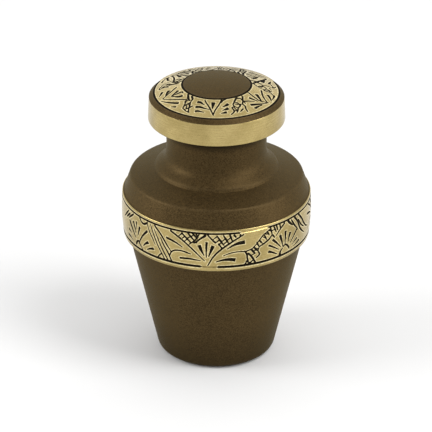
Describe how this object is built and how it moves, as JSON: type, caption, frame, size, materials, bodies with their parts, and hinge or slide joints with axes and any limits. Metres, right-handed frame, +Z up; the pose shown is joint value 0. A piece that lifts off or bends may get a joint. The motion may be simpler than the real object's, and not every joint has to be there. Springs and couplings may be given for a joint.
{
  "type": "cremation urn",
  "caption": "Small turned brass keepsake urn: hollow tapering vessel with a raised engraved band, flared neck and a lift-off cap lid.",
  "frame": {"origin": "centre of the flat underside, on the surface the urn stands on", "axes": "+Z up along the axis the urn is turned about; X and Y are level and have no marked direction"},
  "size_m": [0.048, 0.048, 0.0737],
  "materials": {
    "bronze_lacquer": "dark bronze-brown metallic lacquer over brass, satin, with a bare engraved brass band",
    "satin_brass": "satin bare brass with a hand-engraved, black-filled leaf pattern, bronze lacquer on the rim and the middle disc"
  },
  "bodies": {
    "root": {"urn_body": "bronze_lacquer", "lid": "satin_brass"}
  },
  "joints": []
}
